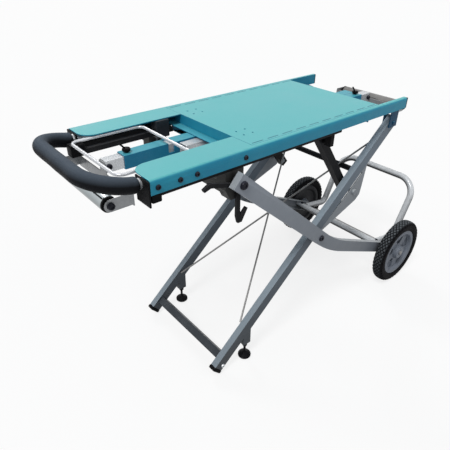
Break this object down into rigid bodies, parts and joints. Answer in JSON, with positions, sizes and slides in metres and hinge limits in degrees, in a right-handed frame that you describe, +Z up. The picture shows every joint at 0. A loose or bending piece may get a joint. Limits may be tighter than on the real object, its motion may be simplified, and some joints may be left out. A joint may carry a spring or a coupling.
{
  "type": "folding rolling work stand",
  "caption": "Wheeled folding work stand: sheet steel table on coupled scissor legs, foam grip, pull-out rollers, a release bail, screw levellers and a tubular hoop behind the wheels.",
  "frame": {"origin": "centre of the footprint box on the floor", "axes": "+X along the table toward the wheels, +Z up, -Y the side with the latch lever"},
  "size_m": [1.3372, 0.5364, 0.753],
  "materials": {
    "teal_paint": "satin teal paint",
    "deep_teal_paint": "satin deep blue paint",
    "grey_paint": "satin blue-grey paint",
    "black_paint": "semi-gloss black paint",
    "zinc_steel": "zinc plated tube",
    "foam_grip": "closed-cell foam sleeve",
    "soft_rubber": "matt black rubber",
    "tyre_rubber": "treaded rubber",
    "black_plastic": "moulded black plastic",
    "rim_plastic": "moulded grey plastic"
  },
  "bodies": {
    "table": {"front_rail": "teal_paint", "rear_rail": "teal_paint", "deck_plate": "teal_paint", "left_cross_member": "deep_teal_paint", "right_cross_member": "deep_teal_paint", "handle_tube": "zinc_steel", "handle_grip": "foam_grip", "front_end_cap": "black_plastic", "rear_end_cap": "black_plastic", "front_bumper": "soft_rubber", "rear_bumper": "soft_rubber", "front_rail_plug": "black_plastic", "rear_rail_plug": "black_plastic", "front_track": "black_paint", "rear_track": "black_paint", "guide_channel": "deep_teal_paint", "second_guide_channel": "deep_teal_paint", "pull_bar_guide": "grey_paint", "front_hinge_bracket": "deep_teal_paint", "rear_hinge_bracket": "deep_teal_paint"},
    "release": {"release_bail": "zinc_steel", "pull_block": "black_plastic", "pull_bar": "black_paint"},
    "left_extension": {"left_extension_tube": "zinc_steel", "left_roller_bracket": "zinc_steel"},
    "left_roller": {"left_roller": "zinc_steel"},
    "right_extension": {"right_extension_tube": "zinc_steel", "right_roller_bracket": "zinc_steel"},
    "right_roller": {"right_roller": "zinc_steel"},
    "left_knob": {"left_clamp_knob": "black_plastic"},
    "right_knob": {"right_clamp_knob": "black_plastic"},
    "leg_frame": {"front_leg": "grey_paint", "rear_leg": "grey_paint", "foot_cross_tube": "grey_paint", "upper_cross_bar": "black_paint", "brace_rod_left": "zinc_steel", "brace_rod_right": "zinc_steel", "front_foot_cap": "soft_rubber", "rear_foot_cap": "soft_rubber", "front_strut_plate": "grey_paint", "rear_strut_plate": "grey_paint"},
    "front_leveller": {"front_leveller": "black_plastic"},
    "rear_leveller": {"rear_leveller": "black_plastic"},
    "wheel_frame": {"front_side_bar": "grey_paint", "rear_side_bar": "grey_paint", "frame_hoop": "zinc_steel", "frame_cross_tube": "zinc_steel", "axle": "zinc_steel", "front_pivot_bolt": "black_paint", "rear_pivot_bolt": "black_paint"},
    "front_wheel": {"front_tyre": "tyre_rubber", "front_wheel_rim": "rim_plastic"},
    "rear_wheel": {"rear_tyre": "tyre_rubber", "rear_wheel_rim": "rim_plastic"},
    "front_strut": {"front_strut": "black_paint"},
    "rear_strut": {"rear_strut": "black_paint"},
    "front_slider": {"front_strut_slider": "black_plastic"},
    "rear_slider": {"rear_strut_slider": "black_plastic"},
    "carriage": {"slide_carriage": "black_paint"},
    "latch": {"latch_lever": "black_paint"}
  },
  "joints": [
    {"name": "leg_fold", "type": "hinge", "parent": "table", "child": "leg_frame", "pos_m": [0.3608, 0, 0.655], "axis": [0, 1, 0], "range_deg": [0, 28.65]},
    {"name": "wheel_frame_fold", "type": "hinge", "parent": "leg_frame", "child": "wheel_frame", "pos_m": [0.02586, 0, 0.36507], "axis": [0, 1, 0], "range_deg": [-57.3, 0]},
    {"name": "carriage_turn", "type": "hinge", "parent": "wheel_frame", "child": "carriage", "pos_m": [-0.30909, 0, 0.655], "axis": [0, 1, 0], "range_deg": [0, 28.65]},
    {"name": "front_strut_turn", "type": "hinge", "parent": "leg_frame", "child": "front_strut", "pos_m": [0.20985, -0.14, 0.45396], "axis": [0, 1, 0], "range_deg": [-57.3, 0]},
    {"name": "rear_strut_turn", "type": "hinge", "parent": "leg_frame", "child": "rear_strut", "pos_m": [0.20985, 0.14, 0.45396], "axis": [0, 1, 0], "range_deg": [-57.3, 0]},
    {"name": "front_slider_turn", "type": "hinge", "parent": "front_strut", "child": "front_slider", "pos_m": [0.05891, -0.173, 0.655], "axis": [0, 1, 0], "range_deg": [0, 28.65]},
    {"name": "rear_slider_turn", "type": "hinge", "parent": "rear_strut", "child": "rear_slider", "pos_m": [0.05891, 0.173, 0.655], "axis": [0, 1, 0], "range_deg": [0, 28.65]},
    {"name": "front_wheel_spin", "type": "hinge", "parent": "wheel_frame", "child": "front_wheel", "pos_m": [0.48686, -0.2432, 0.127], "axis": [0, 1, 0], "continuous": true},
    {"name": "rear_wheel_spin", "type": "hinge", "parent": "wheel_frame", "child": "rear_wheel", "pos_m": [0.48686, 0.2432, 0.127], "axis": [0, 1, 0], "continuous": true},
    {"name": "latch_turn", "type": "hinge", "parent": "carriage", "child": "latch", "pos_m": [-0.30909, -0.1935, 0.655], "axis": [0, 1, 0], "range_deg": [-18, 0]},
    {"name": "release_pull", "type": "slide", "parent": "table", "child": "release", "axis": [-1, 0, 0], "range_m": [0, 0.018]},
    {"name": "left_extension_slide", "type": "slide", "parent": "table", "child": "left_extension", "axis": [-1, 0, 0], "range_m": [0, 0.25]},
    {"name": "right_extension_slide", "type": "slide", "parent": "table", "child": "right_extension", "axis": [1, 0, 0], "range_m": [0, 0.3]},
    {"name": "left_roller_spin", "type": "hinge", "parent": "left_extension", "child": "left_roller", "pos_m": [-0.5942, 0.032, 0.652], "axis": [0, 1, 0], "continuous": true},
    {"name": "right_roller_spin", "type": "hinge", "parent": "right_extension", "child": "right_roller", "pos_m": [0.5058, -0.0045, 0.665], "axis": [0, 1, 0], "continuous": true},
    {"name": "left_knob_turn", "type": "hinge", "parent": "table", "child": "left_knob", "pos_m": [-0.4722, 0.032, 0.6985], "axis": [0, 0, 1], "range_deg": [-90, 0]},
    {"name": "right_knob_turn", "type": "hinge", "parent": "table", "child": "right_knob", "pos_m": [0.3998, -0.0045, 0.6985], "axis": [0, 0, 1], "range_deg": [-90, 0]},
    {"name": "front_leveller_screw", "type": "slide", "parent": "leg_frame", "child": "front_leveller", "axis": [0, 0, -1], "range_m": [0, 0.015]},
    {"name": "rear_leveller_screw", "type": "slide", "parent": "leg_frame", "child": "rear_leveller", "axis": [0, 0, -1], "range_m": [0, 0.015]}
  ],
  "couplings": [
    {"joint": "wheel_frame_fold", "follows": "leg_fold", "ratio": -2},
    {"joint": "carriage_turn", "follows": "leg_fold", "ratio": 1},
    {"joint": "front_strut_turn", "follows": "leg_fold", "ratio": -2},
    {"joint": "rear_strut_turn", "follows": "leg_fold", "ratio": -2},
    {"joint": "front_slider_turn", "follows": "leg_fold", "ratio": 1},
    {"joint": "rear_slider_turn", "follows": "leg_fold", "ratio": 1}
  ]
}
